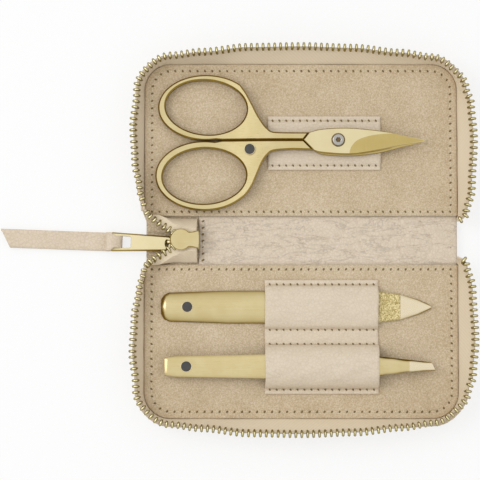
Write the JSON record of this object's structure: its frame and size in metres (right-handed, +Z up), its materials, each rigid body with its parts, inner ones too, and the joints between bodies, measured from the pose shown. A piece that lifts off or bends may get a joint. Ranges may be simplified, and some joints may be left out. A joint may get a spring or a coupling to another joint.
{
  "type": "manicure set case",
  "caption": "Zip-round leather manicure case lying open, with nail scissors, nail file and tweezers held by sewn leather loops.",
  "frame": {"origin": "on the table under the middle of the spine's outer face", "axes": "+X along the folds to the right, the puller at -X; +Y to the upper cover with the scissors; +Z up out of the open case"},
  "size_m": [0.1642, 0.135, 0.0109],
  "materials": {
    "leather": "pebbled full-grain leather, blush beige",
    "suede": "brushed suede lining",
    "greyboard": "stiff greyboard, hidden",
    "zip_tape": "woven tape",
    "zip_metal": "polished light gold",
    "gold": "satin light gold coating on stainless steel",
    "steel": "bare stainless steel",
    "enamel": "dark gloss enamel",
    "grit": "fine gold-coated grit"
  },
  "bodies": {
    "lower_cover": {"lower_leather": "leather", "lower_gusset": "leather", "lower_board": "greyboard", "lower_lining": "suede", "lower_zip_tape": "zip_tape", "lower_zip_teeth": "zip_metal", "lower_zip_stop": "zip_metal", "tool_loops": "leather"},
    "spine": {"spine_leather": "leather", "spine_lining": "leather", "spine_zip_tape": "zip_tape", "spine_zip_teeth": "zip_metal", "zip_bottom_stop": "zip_metal"},
    "upper_cover": {"upper_leather": "leather", "upper_gusset": "leather", "upper_board": "greyboard", "upper_lining": "suede", "upper_zip_tape": "zip_tape", "upper_zip_teeth": "zip_metal", "upper_zip_stop": "zip_metal", "scissors_loop": "leather"},
    "slider": {"slider_body": "gold", "slider_bail": "gold"},
    "puller": {"puller_plate": "gold"},
    "strap": {"puller_strap": "leather"},
    "scissors_under": {"scissors_under_half": "gold", "scissors_screw": "steel"},
    "scissors_top": {"scissors_top_half": "gold", "scissors_mark": "enamel"},
    "file": {"file_body": "gold", "file_grit": "grit", "file_mark": "enamel"},
    "tweezers_lower": {"tweezers_lower_arm": "gold"},
    "tweezers_upper": {"tweezers_upper_arm": "gold", "tweezers_mark": "enamel"}
  },
  "joints": [
    {"name": "spine_fold", "type": "hinge", "parent": "lower_cover", "child": "spine", "pos_m": [0, -0.0081, 0.002], "axis": [1, 0, 0], "range_deg": [0, 90], "deforming": ["spine_zip_tape", "spine_zip_teeth"]},
    {"name": "upper_fold", "type": "hinge", "parent": "spine", "child": "upper_cover", "pos_m": [0, 0.0081, 0.002], "axis": [1, 0, 0], "range_deg": [0, 90], "deforming": ["spine_zip_tape", "spine_zip_teeth"]},
    {"name": "slider_slide", "type": "slide", "parent": "spine", "child": "slider", "axis": [1, 0, 0], "range_m": [-0.003, 0], "deforming": ["spine_zip_tape", "spine_zip_teeth"]},
    {"name": "puller_hinge", "type": "hinge", "parent": "slider", "child": "puller", "pos_m": [-0.04475, -0.0011, 0.0029], "axis": [-0.0366, -0.9993, 0], "range_deg": [-18, 0]},
    {"name": "strap_hinge", "type": "hinge", "parent": "puller", "child": "strap", "pos_m": [-0.06479, -0.00036, 0.0023], "axis": [-0.0366, -0.9993, 0], "range_deg": [-110, 0]},
    {"name": "scissors_lift", "type": "slide", "parent": "upper_cover", "child": "scissors_under", "axis": [0, 0, -1], "range_m": [-0.045, 0]},
    {"name": "scissors_open", "type": "hinge", "parent": "scissors_under", "child": "scissors_top", "pos_m": [0.0127, 0.0341, 0.006], "axis": [0, 0, -1], "range_deg": [-34, 0]},
    {"name": "file_slide", "type": "slide", "parent": "lower_cover", "child": "file", "axis": [1, 0, 0], "range_m": [-0.0055, 0]},
    {"name": "tweezers_slide", "type": "slide", "parent": "lower_cover", "child": "tweezers_lower", "axis": [1, 0, 0], "range_m": [-0.0055, 0]},
    {"name": "tweezers_squeeze", "type": "hinge", "parent": "tweezers_lower", "child": "tweezers_upper", "pos_m": [-0.038, -0.0431, 0.0057], "axis": [0, -1, 0], "range_deg": [-1, 0], "stiffness_Nm_per_rad": 2}
  ],
  "couplings": [
    {"joint": "scissors_open", "follows": "scissors_lift", "rad_per_m": 13.18}
  ]
}
